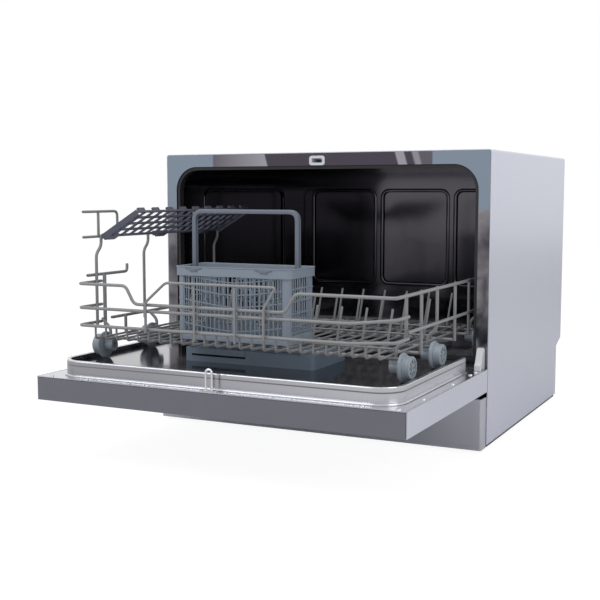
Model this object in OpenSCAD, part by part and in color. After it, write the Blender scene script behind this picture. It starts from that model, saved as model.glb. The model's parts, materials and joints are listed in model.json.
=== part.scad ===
/* [Casing] */
// Width of the casing
body_w = 550; // [520:1:600]
// Depth of the casing behind the door
body_d = 474; // [460:1:520]
// Height above the worktop
body_h = 438; // [430:1:470]
// Thickness of the painted sheet
sheet = 1.2; // [0.8:0.1:1.6]
// Height of the feet under the casing
foot_h = 5; // [3:0.5:10]
// Radius of the feet
foot_r = 12; // [8:1:16]
// Distance of the feet from the casing's side
foot_inset = 20; // [16:1:60]
// Depth of the recess at the back, low down
recess_d = 33; // [20:1:40]
// Height of the recess above the worktop
recess_h = 110; // [104:1:120]
// Fall of the slanted sheet at the top of the recess
recess_fall = 12; // [6:1:20]
// Corner radius of the casing's top edges
casing_r = 4; // [2:0.5:8]
// Running clearance between loose pieces
gap = 0.3; // [0.2:0.05:0.4]

/* [Plinth and base] */
// How far the plinth stands out in front of the casing
plinth_out = 25; // [18:1:30]
// Top of the plinth above the worktop
plinth_h = 80; // [60:1:82]
// Width of the plinth's end posts
plinth_post = 14; // [8:1:30]
// Wall of the plinth
plinth_t = 2; // [1.5:0.1:3]
// Height of the base tray's rim
tray_rim = 18; // [12:1:24]
// Wall of the base tray
tray_t = 2.5; // [2:0.1:4]

/* [Tub] */
// Width of the steel strip round the opening
frame_strip = 18.5; // [16:0.5:24]
// Height of the steel strip above the opening
frame_top = 20.5; // [17:0.5:26]
// Floor of the tub above the worktop
tub_floor = 131; // [129:0.5:132]
// Depth of the tub
tub_d = 436; // [426:1:440]
// Corner radius of the tub
tub_r = 38; // [28:1:44]
// Lower edge of the front frame
frame_low = 112; // [108:1:118]
// Corner radius of the tub at its floor
tub_low_r = 6; // [3:1:12]
// Depth of the pressed panels
press_d = 3; // [1.5:0.1:4]
// Width of one pressed panel in the back wall
press_w = 134; // [100:1:138]
// Height of the pressed panels
press_h = 180; // [140:1:190]
// Height of the panels' lower edge
press_z = 200; // [190:1:205]
// Radial height of the door gasket
seal_w = 5; // [3:0.5:5]
// Depth of the door gasket
seal_d = 12; // [8:0.5:16]

/* [Door] */
// Reach of the lowered door in front of the casing
door_reach = 334; // [320:1:350]
// Thickness of the door without its pan
door_t = 33; // [28:1:34]
// Height of the lowered door's inner face
door_z = 121; // [121:0.5:123]
// Height of the pan's rim above the inner face
pan_rise = 22; // [18:0.5:24]
// Height of the track in the pan above the inner face
track_rise = 15.2; // [14:0.1:15.2]
// Width of the pan's rim
pan_rim = 5.5; // [4:0.1:6]
// Inset of the pan's rim from the door's front edge
pan_inset = 19; // [14:1:24]
// Gap between the pan's end and the casing
pan_back = 37; // [30:1:44]
// Height of the control panel on the door's outer face
panel_h = 80; // [70:1:110]
// Number of control buttons
buttons = 4; // [3:1:6]
// Pitch of the control buttons
button_pitch = 26; // [22:1:30]
// Size of a control button
button_w = 15; // [10:1:18]
// Travel of a control button
button_travel = 1.2; // [0.8:0.1:2]

/* [Dispenser] */
// Width of the dispenser
disp_w = 206; // [190:1:220]
// Depth of the dispenser
disp_l = 108; // [100:1:120]
// Height of the dispenser above the track
disp_h = 19; // [15:0.5:20]
// Offset of the dispenser from the middle
disp_x = -11; // [-30:1:10]
// Front face of the dispenser in front of the casing
disp_y = 203; // [195:1:215]
// Travel of the dispenser's lid
lid_travel = 84; // [60:1:86]

/* [Rack] */
// Distance between the rack's side wires and the tub's wall
rack_side = 16.5; // [15.5:0.5:24]
// Front of the rack in front of the casing
rack_out = 281; // [270:1:285]
// Length of the rack
rack_l = 392; // [360:1:395]
// Travel of the rack
rack_travel = 310; // [290:1:312]
// Diameter of the rails
rail_d = 4.6; // [4:0.1:5]
// Diameter of the base wires and tines
wire_d = 3.2; // [2.6:0.1:3.6]
// Height of the top rail
rail_z1 = 248; // [240:1:256]
// Height of the middle rail
rail_z2 = 214; // [208:1:220]
// Height of the lower rail
rail_z3 = 189; // [186:1:194]
// Height of the cross wires under the base
cross_z = 166.5; // [166:0.5:168]
// Pitch of the base wires
wire_pitch = 18; // [15:1:24]
// Length of the tines
tine_h = 52; // [30:1:64]
// Lean of the tines
tine_lean = 9; // [0:1:12]
// Radius of a wheel's flange
wheel_r = 19; // [17:0.5:19]
// Radius of a wheel's tread
tread_r = 15; // [12:0.5:16]
// Width of a wheel
wheel_w = 16; // [12:0.5:18]
// Radius of a wheel's axle
axle_r = 2.5; // [2:0.1:3]

/* [Cup shelf] */
// Length of the cup shelf
shelf_l = 326; // [250:1:340]
// Width of the cup shelf
shelf_w = 80; // [60:1:84]
// Slope of the cup shelf in use
shelf_slope = 31; // [20:1:32]
// Height of the shelf's hinge wire
shelf_z = 313; // [305:1:320]

/* [Cutlery basket] */
// Width of the basket
basket_w = 180; // [150:1:190]
// Depth of the basket
basket_l = 80; // [70:1:90]
// Top of the basket's rim
basket_z = 275; // [262:1:280]
// Offset of the basket from the middle
basket_x = -15; // [-30:1:0]
// Height of the handle above the rim
handle_h = 78; // [60:1:90]

/* [Washing] */
// Radius of the spray arm
arm_r = 186; // [150:1:190]
// Middle of the tub behind the casing's front
arm_y = 225; // [222:1:232]
// Radius of the sump
sump_r = 50; // [44:1:52]

/* [Hidden] */
$fn = 48;

// The origin is under the middle of the open machine
front_y = (door_reach - body_d) / 2;

side_x = body_w / 2;
inner_x = side_x - sheet - gap;
tub_x = side_x - frame_strip;
tub_top = body_h - frame_top;
track_z = door_z + track_rise;
rack_hw = tub_x - rack_side;
pan_x = tub_x - 2;
pan_y0 = -(door_reach - pan_inset);
door_low = door_z - door_t;
door_front = -door_reach;
hinge_y = -10;
hinge_z = door_z - 10;
arm_x = side_x - 9.5;
hinge_t = 3;
pin_r = 3;
pin_play = 0.05;
skin = 1.2;

wheel_z = track_z + gap + wheel_r;
wheel_x = rack_hw + 5;
wheel_y = [-233, -114, 84];
disp_x0 = disp_x - disp_w / 2;
disp_x1 = disp_x + disp_w / 2;
disp_top = track_z + disp_h;
disp_deep = 22;
rack_y0 = -rack_out;
rack_y1 = rack_l - rack_out;
weld = 0.1;
base_z = cross_z + rail_d / 2 + wire_d / 2 + weld;
tine_z = base_z + wire_d + weld;
corner_r = 12;
post_y = -228;
jog = 12;

sump_x = 135 - side_x;
sump_y = 140;
cap_x = side_x - 135;
hub_r = 14;
pump_x = -20;
pump_z = 78;
pump_out = 101;
pump_join = 196;
drain_y = 300;

DARK = [0.16, 0.16, 0.18];
PAINT = [0.76, 0.77, 0.82];
STEEL = [0.72, 0.73, 0.76];
POLISH = [0.55, 0.56, 0.60];
BLUE = [0.52, 0.58, 0.66];
WIRE = [0.60, 0.60, 0.62];
PALE = [0.88, 0.88, 0.90];

module at_front() translate([0, front_y, 0]) children();

// A flat shape drawn in X and Z, swept from y0 to y1
module along_y(y0, y1) translate([0, y1, 0]) rotate([90, 0, 0]) linear_extrude(y1 - y0) children();

// A flat shape drawn in Y and Z, swept from x0 to x1
module along_x(x0, x1) translate([x0, 0, 0]) rotate([90, 0, 90]) linear_extrude(x1 - x0) children();

// A block between two corners
module block(a, b) translate(a) cube(b - a);

// A flat rectangle with round corners, between two corners
module rounded(a, b, r) {
  translate([a[0] + r, a[1]]) square([b[0] - a[0] - 2 * r, b[1] - a[1]]);
  translate([a[0], a[1] + r]) square([b[0] - a[0], b[1] - a[1] - 2 * r]);
  for (x = [a[0] + r, b[0] - r], y = [a[1] + r, b[1] - r]) translate([x, y]) circle(r);
}

// A plate with round corners, from z0 to z1
module plate(a, b, r, z0, z1) translate([0, 0, z0]) linear_extrude(z1 - z0) rounded(a, b, r);

// A straight round bar between two points
module bar(p, q, d) {
  v = q - p;
  translate(p) rotate([0, acos(v[2] / norm(v)), atan2(v[1], v[0])]) cylinder(h = norm(v), d = d);
}

// A wire through points, with a small knuckle at each bend
module wire(p, d) {
  for (i = [0 : len(p) - 2]) bar(p[i], p[i + 1], d);
  if (len(p) > 2) for (i = [1 : len(p) - 2]) translate(p[i]) sphere(d = d + 0.2);
}

// A wire of straight runs and square bends: each step is a length and a roll to the next bend
module square_wire(s, r, d, k = 0) {
  cylinder(h = s[k][0], d = d);
  if (k < len(s) - 1) translate([0, 0, s[k][0]]) rotate([0, 0, s[k][1]]) translate([r, 0, 0]) {
    rotate([90, 0, 0]) mirror([1, 0, 0]) rotate_extrude(angle = 90) translate([r, 0]) circle(d = d);
    rotate([0, 90, 0]) translate([-r, 0, 0]) square_wire(s, r, d, k + 1);
  }
}

module mirror_copy() {
  children();
  mirror([1, 0, 0]) children();
}

// ---------- casing ----------

module side_profile(cut = 0) polygon([[-cut, -cut], [body_d - recess_d + cut, -cut],
  [body_d - recess_d + cut, recess_h - recess_fall], [body_d + cut, recess_h], [body_d + cut, body_h + 1],
      [-cut, body_h + 1]]);

module outer_casing() at_front() color(PAINT) difference() {
  intersection() {
    along_y(0, body_d) difference() {
      rounded([-side_x, foot_h], [side_x, body_h], casing_r);
      rounded([-side_x + sheet, -20], [side_x - sheet, body_h - sheet], casing_r - sheet);
    }
    along_x(-side_x, side_x) difference() {
      side_profile();
      translate([-1, -1]) square([body_d + 2, foot_h + casing_r + 1]);
    }
  }
}

// The rear sheet follows the side's outline inside the casing
module rear_outline(t) polygon([[body_d - recess_d - t, foot_h + casing_r], [body_d - recess_d - t,
    recess_h - recess_fall + t / 2],
  [body_d - t, recess_h + t / 2], [body_d - t, body_h - sheet - gap], [body_d, body_h - sheet - gap],
  [body_d, recess_h], [body_d - recess_d, recess_h - recess_fall], [body_d - recess_d, foot_h + casing_r]]);

drain_x = sump_x - 20;
inlet_x = drain_x - 45;
gland_x = side_x - 75;
port_z = 58;
inlet_r = 13.2;
drain_r = 9.5;

module rear_panel() at_front() color(PAINT) difference() {
  intersection() {
    along_x(-inner_x, inner_x) rear_outline(sheet);
    along_y(0, body_d + 1) rounded([-inner_x, 0], [inner_x, body_h - sheet - gap], casing_r);
  }
  for (p = [[inlet_x, inlet_r + 1], [drain_x, drain_r + 1], [gland_x, 9]])
    translate([p[0], body_d + 1, port_z]) rotate([90, 0, 0]) cylinder(h = recess_d + 10, r = p[1]);
  // air slots
  for (i = [0 : 8], s = [-1, 1]) along_y(body_d - 5, body_d + 1)
    rounded([s * 120 + (i - 4) * 14 - 2, 140], [s * 120 + (i - 4) * 14 + 2, 180], 1.9);
}

module base_tray() at_front() color(DARK) {
  z0 = foot_h;
  x = inner_x;
  y0 = 0;
  y1 = body_d - recess_d - sheet - gap;
  difference() {
    plate([-x, y0], [x, y1], 5, z0, z0 + tray_rim);
    plate([-x + tray_t, y0 + tray_t], [x - tray_t, y1 - tray_t], 4, z0 + tray_t, z0 + tray_rim + 1);
    for (s = [-1, 1], y = [foot_inset, body_d - recess_d - foot_inset])
      translate([s * (side_x - foot_inset), y, 0]) cylinder(h = 40, r = 4 + gap);
    for (i = [-5 : 5]) plate([i * 30 - 3, 300], [i * 30 + 3, 360], 2.9, z0 - 1, z0 + tray_t + 1);
  }
  // ribs across the tray
  for (y = [90, 180, 270, 380]) block([-x + tray_t - 0.5, y, z0 + tray_t - 0.5], [x - tray_t + 0.5,
      y + 2.5, z0 + 11]);
}

module feet() at_front() color(DARK)
  for (s = [-1, 1], y = [foot_inset, body_d - recess_d - foot_inset])
    translate([s * (side_x - foot_inset), y, 0]) {
      cylinder(h = foot_h - 0.01, r1 = foot_r - 1, r2 = foot_r);
      cylinder(h = foot_h + tray_t + 4, r = 4);
    }

module plinth() at_front() color(PAINT) {
  x = side_x - 1.5;
  z1 = plinth_h;
  difference() {
    plate([-x, -plinth_out], [x, 4], 3, foot_h, z1);
    plate([-x + plinth_t, -plinth_out + plinth_t], [x - plinth_t, 10], 2, foot_h - 1, z1 - plinth_t);
    // the front is set back between its end posts
    block([-x + plinth_post, -plinth_out - 1, foot_h + 6], [x - plinth_post, -plinth_out + 1, z1 - 4]);
    // slots for the hinges
    mirror_copy() block([arm_x - 8, -plinth_out + 4, z1 - 10], [arm_x + 5, 1, z1 + 1]);
    block([-x - 1, -gap, 0], [x + 1, 5, z1 + 1]);
    // the back of the shell is open
    block([-x + plinth_t, -4, foot_h - 1], [x - plinth_t, 1, z1 - plinth_t]);
  }
}

member_y = sheet + gap;
module front_cross_member() at_front() color(DARK) difference() {
  along_x(-arm_x + 12, arm_x - 12) polygon([[member_y, plinth_h - 20], [20, plinth_h - 20], [20,
      plinth_h - 18.4],
    [member_y + 1.6, plinth_h - 18.4], [member_y + 1.6, frame_low + 6.4], [16, frame_low + 6.4], [16,
        frame_low + 8],
    [member_y, frame_low + 8]]);
  for (i = [-4 : 4]) along_y(0, 6) translate([i * 50, plinth_h - 2]) circle(7);
}

// ---------- tub ----------

// Large corners at the top of the opening, small ones at the floor
module opening(t = 0) {
  rounded([-tub_x - t, tub_floor - t], [tub_x + t, tub_top - 2 * tub_r], tub_low_r + t);
  rounded([-tub_x - t, tub_floor + tub_r], [tub_x + t, tub_top + t], tub_r + t);
}

// Pressed panels: three in the back wall and one in each side wall
module pressed(grow, low, high) {
  for (i = [-1 : 1]) along_y(tub_d + low, tub_d + high)
    rounded([i * (press_w + 14) - press_w / 2 - grow, press_z - grow], [i * (press_w + 14)
        + press_w / 2 + grow, press_z + press_h + grow], 14 + grow);
  mirror_copy() along_x(tub_x + low, tub_x + high)
    rounded([90 - grow, press_z - grow], [390 + grow, press_z + press_h + grow], 14 + grow);
}

lock_w = 26;
lock_h = 14.5;
lock_z = tub_top + 0.5 + lock_h / 2;

module tub() at_front() color(POLISH) difference() {
  union() {
    along_y(0, sheet) rounded([-inner_x, frame_low], [inner_x, body_h - sheet - gap], 2.5);
    along_y(0, tub_d + sheet) opening(sheet);
    pressed(sheet, 0, press_d + sheet);
    // neck round the sump
    translate([sump_x, sump_y, tub_floor - 12]) cylinder(h = 12, r = sump_r + 2 + sheet);
    translate([cap_x, sump_y, tub_floor - 12]) cylinder(h = 12, r = 34);
    translate([0, arm_y, tub_floor - 12]) cylinder(h = 12, r = hub_r + 4);
  }
  along_y(-1, tub_d) opening();
  pressed(0, -1, press_d);
  translate([sump_x, sump_y, tub_floor - 20]) cylinder(h = 30, r = sump_r + 2);
  translate([cap_x, sump_y, tub_floor - 20]) cylinder(h = 30, r = 31);
  translate([0, arm_y, tub_floor - 20]) cylinder(h = 30, r = hub_r + gap);
  // lock slot
  along_y(-1, 3) rounded([-lock_w / 2 + 2, lock_z - lock_h / 2 + 2], [lock_w / 2 - 2,
      lock_z + lock_h / 2 - 2], 3);
  // heater legs
  for (s = [-1, 1]) translate([s * leg_x, arm_y + leg_y, tub_floor - 10]) cylinder(h = 20, d = heat_d + 0.4);
}

module door_seal() at_front() color([0.07, 0.07, 0.08]) difference() {
  along_y(2, 2 + seal_d) opening();
  along_y(1, 3 + seal_d) opening(-seal_w);
  // groove behind the lip
  along_y(seal_d / 2, seal_d / 2 + 3) opening(-seal_w + 1);
}

runner_y0 = 16;
runner_y1 = wheel_y[2] + rack_travel + wheel_r + 3;
runner_low = wheel_x - wheel_w - 8;
runner_high = tub_x - seal_w - 1;
lip_z = wheel_z + wheel_r + 2;

module runner() difference() {
  union() {
    // track, outer wall and upper lip
    along_y(runner_y0, runner_y1) polygon([[runner_low, tub_floor + gap], [runner_low + 2, tub_floor + gap],
      [runner_low + 2, track_z - 1.6], [runner_high, track_z - 1.6], [runner_high, lip_z + 2],
          [wheel_x - 6, lip_z + 2],
      [wheel_x - 6, lip_z], [runner_high - 1.6, lip_z], [runner_high - 1.6, track_z], [runner_low, track_z]]);
    // feet under the track
    for (i = [0 : 4]) let (y = runner_y0 + 44 + i * (runner_y1 - runner_y0 - 60) / 4)
      block([runner_high - 13, y, tub_floor + gap], [runner_high, y + 3, track_z - 1]);
  }
  // the lip starts with a lead-in
  along_x(runner_low - 1, tub_x) polygon([[runner_y0 - 1, wheel_z + 8], [runner_y0 + 30, lip_z + 3],
      [runner_y0 - 1, lip_z + 3]]);
}

module rack_runner_right() at_front() color(STEEL) runner();
module rack_runner_left() at_front() color(STEEL) mirror([1, 0, 0]) runner();

catch_z = lock_z - 1;
catch_h = 6.5;
catch_lift = 3;
module lock_housing() at_front() color(PALE) difference() {
  union() {
    // bezel standing just proud of the frame, and its body through the slot
    along_y(-1.5, -0.01) rounded([-lock_w / 2, lock_z - lock_h / 2], [lock_w / 2, lock_z + lock_h / 2], 4);
    along_y(-0.5, 34) rounded([-lock_w / 2 + 2.4, lock_z - lock_h / 2 + 2.4], [lock_w / 2 - 2.4,
        lock_z + lock_h / 2 - 2.4], 2.6);
    along_y(sheet + gap, 34) rounded([-30, tub_top + sheet + gap], [30, body_h - sheet - 2], 1);
  }
  along_y(-2, 30) rounded([-lock_w / 2 + 4, lock_z - lock_h / 2 + 4], [lock_w / 2 - 4,
      lock_z + lock_h / 2 - 4], 2);
  block([-6 - gap, 15 - gap, catch_z], [6 + gap, 23 + gap, catch_z + catch_h + catch_lift + gap]);
}

// Sprung catch that the hook pushes up as the door shuts
module lock_catch() at_front() color(STEEL)
  along_x(-6, 6) polygon([[15, catch_z + 3], [20, catch_z], [23, catch_z + 1], [23, catch_z + catch_h],
      [15, catch_z + catch_h]]);

// ---------- hinges ----------

module hinge_bracket() difference() {
  union() {
    along_x(arm_x - 6.4, arm_x - 6.4 + hinge_t) polygon([[hinge_y - 7, hinge_z - 6], [hinge_y - 7,
        hinge_z + 3], [hinge_y - 3, hinge_z + 7],
      [hinge_y + 5, hinge_z + 7], [-1, hinge_z + 3], [-1, frame_low - 1.5], [26, hinge_z - 20],
      [60, foot_h + tray_t + gap], [5, foot_h + tray_t + gap], [5, hinge_z - 34], [-1, hinge_z - 30]]);
    block([arm_x - 6.4 - 12, 30, foot_h + tray_t + gap], [arm_x - 6, 60, foot_h + tray_t + gap + 2.5]);
  }
  translate([0, hinge_y, hinge_z]) rotate([0, 90, 0]) cylinder(h = body_w, r = pin_r + pin_play);
  for (z = [hinge_z - 70, hinge_z - 50]) translate([0, 18, z]) rotate([0, 90, 0]) cylinder(h = body_w, r = 4);
}
module hinge_bracket_right() at_front() color(STEEL) hinge_bracket();
module hinge_bracket_left() at_front() color(STEEL) mirror([1, 0, 0]) hinge_bracket();

// Crank from the door's edge round the pin to the spring
tail_y = 13;
tail_z = hinge_z - 25;
module hinge_arm() difference() {
  union() {
    along_x(arm_x - 3, arm_x) {
      translate([hinge_y, hinge_z]) circle(r = 7);
      polygon([[hinge_y, hinge_z - 7], [hinge_y, hinge_z + 7], [-150, hinge_z + 5], [-160, hinge_z], [-160,
          hinge_z - 7], [-150, hinge_z - 12], [-60, hinge_z - 12]]);
      polygon([[hinge_y - 5, hinge_z - 5], [hinge_y + 5, hinge_z + 5], [tail_y + 5, tail_z], [tail_y,
          tail_z - 6], [tail_y - 6, tail_z]]);
    }
    // fold that is screwed to the door's skin
    block([arm_x - 16, -150, hinge_z - 12], [arm_x - 2.5, -60, hinge_z - 9.6]);
  }
  translate([0, hinge_y, hinge_z]) rotate([0, 90, 0]) cylinder(h = body_w, r = pin_r + pin_play);
  translate([0, tail_y, tail_z]) rotate([0, 90, 0]) cylinder(h = body_w, r = 1.8);
  for (y = [-140, -105, -70]) translate([arm_x - 10, y, 0]) cylinder(h = body_h, r = 2);
}
module hinge_arm_right() at_front() color(STEEL) hinge_arm();
module hinge_arm_left() at_front() color(STEEL) mirror([1, 0, 0]) hinge_arm();

module hinge_pins() at_front() color(STEEL) mirror_copy()
  translate([arm_x - 6.4 - 3, hinge_y, hinge_z]) rotate([0, 90, 0]) {
    cylinder(h = 12, r = pin_r);
    cylinder(h = 2.7, r = pin_r + 1.8);
  }

// Tension spring beside the crank's tail
spring_len = 110;
spring_r = 4.6;
hook_r = 1.3;
module hinge_springs() at_front() color(STEEL) mirror_copy()
  translate([arm_x + hook_r + gap, tail_y, tail_z]) rotate([-90, 0, 0]) {
    translate([0, 0, 9]) rotate_extrude() polygon([[0, 0], [2.5, 0], [spring_r, 2], [spring_r,
        spring_len - 2], [2.5, spring_len], [0, spring_len]]);
    cylinder(h = 10, r = hook_r);
    rotate([0, -90, 0]) translate([0, 0, -hook_r]) cylinder(h = 3 + gap + 2 * hook_r, r = 1.6);
    translate([0, 0, spring_len + 8]) cylinder(h = 22, r = hook_r);
  }

module hinge_covers() at_front() color(PALE) mirror_copy() difference() {
  along_x(side_x - 13.5, side_x - 4.5) polygon([[-24, door_z + gap], [-3, door_z + gap], [-2.5,
      door_z + 28], [-7, door_z + 32],
    [-12, door_z + 31], [-20, door_z + 12], [-24, door_z + 8]]);
  along_x(side_x - 12, side_x - 3) polygon([[-20, door_z - 1], [-5, door_z - 1], [-5, door_z + 25], [-9,
      door_z + 28], [-17, door_z + 10]]);
}

// ---------- door ----------

module door_outer_panel() at_front() color(PAINT) difference() {
  block([-side_x, door_front + 1, door_low], [side_x, -2, door_z]);
  block([-side_x + skin, door_front, door_low + skin], [side_x - skin, -2 - skin, door_z + 1]);
  // the control panel closes the front
  block([-side_x + skin, door_front, door_low - 1], [side_x - skin, door_front + panel_h, door_z + 1]);
  // clear of the hinges
  mirror_copy() block([arm_x - 8, -26, door_low - 1], [arm_x + 6, 1, hinge_z + 8]);
}

button_y = door_front + 50;
button_x = 60;
window_x = -150;
function bx(i) = button_x + i * button_pitch;

module control_panel() at_front() color([0.36, 0.37, 0.42]) difference() {
  union() {
    difference() {
      block([-side_x + skin + gap, door_front, door_low], [side_x - skin - gap, door_front + panel_h - gap,
          door_z - skin - gap]);
      block([-side_x + skin + 3, door_front + 2.5, door_low + 2.5], [side_x - skin - 3,
          door_front + panel_h + 1, door_z]);
    }
    // shell behind the hand grip
    along_x(-92, 92) intersection() {
      translate([door_front + 24, door_low]) circle(17);
      translate([door_front + 2, door_low]) square([60, 26]);
    }
  }
  // hand grip
  along_x(-90, 90) translate([door_front + 24, door_low]) circle(14.5);
  // buttons and window
  for (i = [0 : buttons - 1]) plate([bx(i) - button_w / 2 - gap, button_y - 5 - gap], [bx(i)
      + button_w / 2 + gap, button_y + 5 + gap], 3, door_low - 1, door_low + 5);
  plate([window_x - 30, button_y - 9], [window_x + 30, button_y + 9], 2, door_low - 1, door_low + 1.3);
  plate([window_x - 27, button_y - 6], [window_x + 27, button_y + 6], 1, door_low - 1, door_low + 5);
}

module display_window() at_front() color([0.05, 0.05, 0.06])
  plate([window_x - 30 + 0.1, button_y - 9 + 0.1], [window_x + 30 - 0.1, button_y + 9 - 0.1], 1.9,
      door_low, door_low + 1.3);

module button(i) at_front() color([0.75, 0.76, 0.80]) difference() {
  union() {
    plate([bx(i) - button_w / 2, button_y - 5], [bx(i) + button_w / 2, button_y + 5], 3 - gap,
        door_low - button_travel + 0.4, door_low + 5);
    plate([bx(i) - button_w / 2 - 1.2, button_y - 6.2], [bx(i) + button_w / 2 + 1.2, button_y + 6.2], 3,
        door_low + 2.5 + gap, door_low + 4.4);
  }
  translate([bx(i), button_y, door_low - button_travel - 1.4]) sphere(r = 2.4);
}
module button_power() button(0);
module button_programme() button(1);
module button_delay() button(2);
module button_start() button(3);

pan_r = tub_r - 4;
module pan_shape(grow) {
  rounded([-pan_x - grow, pan_y0 - grow], [pan_x + grow, -pan_back - pan_r], pan_r + grow);
  rounded([-pan_x - grow, pan_y0 + 2 * pan_r], [pan_x + grow, -pan_back + grow], 6 + grow);
}

module door_inner_pan() at_front() color(POLISH) difference() {
  union() {
    // flange
    plate([-side_x + skin + gap, door_front + 1.5], [side_x - skin - gap, -2 - skin - gap], 1.5,
        door_z - skin, door_z);
    // low bead round the pan, and its wall
    translate([0, 0, door_z - skin]) linear_extrude(skin + 1.6) pan_shape(1.6);
    translate([0, 0, door_z - skin]) linear_extrude(pan_rise + skin) pan_shape(0);
  }
  // hollow below
  translate([0, 0, door_z - skin - 1]) linear_extrude(track_rise + 1) pan_shape(-skin);
  difference() {
    translate([0, 0, door_z]) linear_extrude(pan_rise - skin) pan_shape(-skin);
    translate([0, 0, door_z - 1]) linear_extrude(pan_rise + 2) pan_shape(-pan_rim + skin);
    block([-pan_x, -pan_back - 12, door_z], [pan_x, 0, door_z + pan_rise]);
  }
  // track inside the rim, open towards the tub
  translate([0, 0, track_z]) linear_extrude(pan_rise) {
    pan_shape(-pan_rim);
    translate([-pan_x + pan_rim, -pan_back - 20]) square([2 * (pan_x - pan_rim), 30]);
  }
  // well for the dispenser
  plate([disp_x0 - gap, -disp_y - gap], [disp_x1 + gap, -disp_y + disp_l + gap], 6 + gap, door_z - 5,
      track_z + 1);
  // screw holes
  for (p = screw_at) translate([p[0], p[1], door_z - 5]) cylinder(h = 10, r = 1.6);
}

screw_front = door_front + 8;
screw_side = side_x - 8;
screw_at = concat([for (x = [20 - side_x, 80 - side_x, -95, 90, side_x - 60, side_x - 13]) [x,
    screw_front]],
  [for (s = [-1, 1], y = [-255, -140, -60, -36]) [s * screw_side, y]]);
module door_screws() at_front() color(STEEL) for (p = screw_at) translate([p[0], p[1], 0]) {
  translate([0, 0, door_z + 0.05]) cylinder(h = 1.5, r1 = 3, r2 = 2.4);
  translate([0, 0, door_z - 5]) cylinder(h = 5.2, r = 1.5);
}

hook_y = door_front + 9;
module door_hook() at_front() color(STEEL) {
  difference() {
    plate([-13, hook_y - 4.5], [13, hook_y + 4.5], 3, door_z + 0.05, door_z + 1.6);
    for (s = [-1, 1]) translate([s * 10, hook_y, 0]) cylinder(h = body_h, r = 1.4);
  }
  translate([-4.5, hook_y, door_z + 1]) square_wire([[23, 0], [0.01, 0], [23, 0]], 4.5, 3);
}

disp_r = 6;
lid_w = disp_w / 2 - 9;
lid_l = 64;
lid_z = disp_top - 2.2 - 5.5;
module dispenser_body() at_front() color(BLUE) {
  y0 = -disp_y;
  y1 = -disp_y + disp_l;
  difference() {
    union() {
      plate([disp_x0, y0], [disp_x1, y1], disp_r, track_z - disp_deep, disp_top);
      plate([disp_x0 + 8, y0 + 8], [disp_x1 - 8, y1 - 8], 3, door_low + 4, track_z - disp_deep + 1);
    }
    // detergent chamber under the lid
    plate([disp_x0 + 10, y0 + 9], [disp_x - 5, y0 + 5 + lid_l - 4], 6, track_z - disp_deep + 5, disp_top + 1);
    // bed of the lid, running on under the right half
    block([disp_x0 + 4, y0 + 5 - gap, lid_z - gap], [disp_x0 + 4 + 2 * gap + lid_w + lid_travel,
        y0 + 5 + lid_l + gap, lid_z + 5.5 + gap]);
    block([disp_x0 + 4, y0 + 5 - gap, lid_z], [disp_x - 3, y0 + 5 + lid_l + gap, disp_top + 1]);
    // slot in the front wall
    block([disp_x0 + 12, y0 - 1, lid_z - 3.4], [disp_x - 4, y0 + 10, lid_z - 0.4]);
    // joint line round the lid's front
    block([disp_x - 4, y0 - 1, lid_z - 3.4], [disp_x - 3.2, y0 + 0.8, disp_top + 1]);
    // well of the rinse-aid cap
    translate([rinse_x, rinse_y, disp_top - 10]) cylinder(h = 12, r = rinse_r + gap);
  }
}

rinse_r = 13;
rinse_x = disp_x1 - 26;
rinse_y = -disp_y + disp_l - 19;
module rinse_cap() at_front() color([0.60, 0.66, 0.74]) translate([rinse_x, rinse_y, 0]) difference() {
  union() {
    translate([0, 0, disp_top - 10 + gap]) cylinder(h = 9, r = rinse_r);
    translate([0, 0, disp_top - 1]) intersection() {
      cylinder(h = 2.5, r = rinse_r - 1);
      block([-rinse_r, -2, -1], [rinse_r, 2, 2.5]);
    }
  }
  translate([0, 0, disp_top - 2.6]) difference() {
    cylinder(h = 4, r = rinse_r - 2);
    block([-rinse_r, -2, -1], [rinse_r, 2, 5]);
  }
}

module dispenser_lid() at_front() color(BLUE) difference() {
  plate([disp_x0 + 4 + gap, -disp_y + 5], [disp_x0 + 4 + gap + lid_w, -disp_y + 5 + lid_l], 4, lid_z,
      lid_z + 5.5);
  // finger hollow
  translate([disp_x0 + lid_w - 18, -disp_y + 5 + lid_l / 2, lid_z + 13]) rotate([90, 0, 0]) translate([0,
      0, -16]) cylinder(h = 32, r = 10);
}

// ---------- washing parts ----------

heat_r = 92;
heat_d = 6.5;
leg_x = 14;
leg_y = sqrt(heat_r * heat_r - leg_x * leg_x);
module heater() at_front() color([0.45, 0.43, 0.42]) translate([0, arm_y, 0]) {
  z = tub_floor + 5.5;
  a = asin(leg_x / heat_r);
  rotate([0, 0, 90 + a]) rotate_extrude(angle = 360 - 2 * a) translate([heat_r, z]) circle(d = heat_d);
  for (s = [-1, 1]) translate([s * leg_x, leg_y, tub_floor - 30]) cylinder(h = 30 + 5.5, d = heat_d - 0.4);
}

module sump() at_front() color(DARK) translate([sump_x, sump_y, 0]) difference() {
  union() {
    translate([0, 0, 62]) cylinder(h = tub_floor - 12 - 62 - gap, r = sump_r + 5);
    translate([0, 0, tub_floor - 14]) cylinder(h = 14 - 1.5, r = sump_r + 2 - gap);
    translate([0, 0, pump_z]) rotate([0, 90, 0]) cylinder(h = pump_x - sump_x - gap, r = 14);
    translate([0, 0, 70]) rotate([-90, 0, 0]) cylinder(h = drain_y - 30 - sump_y - gap, r = 11);
  }
  translate([0, 0, 66]) cylinder(h = 80, r = sump_r - 2);
  translate([0, 0, pump_z]) rotate([0, 90, 0]) cylinder(h = pump_x - sump_x + 1, r = 11);
  translate([0, 0, 70]) rotate([-90, 0, 0]) cylinder(h = drain_y - 23 - sump_y, r = 8);
}

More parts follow.
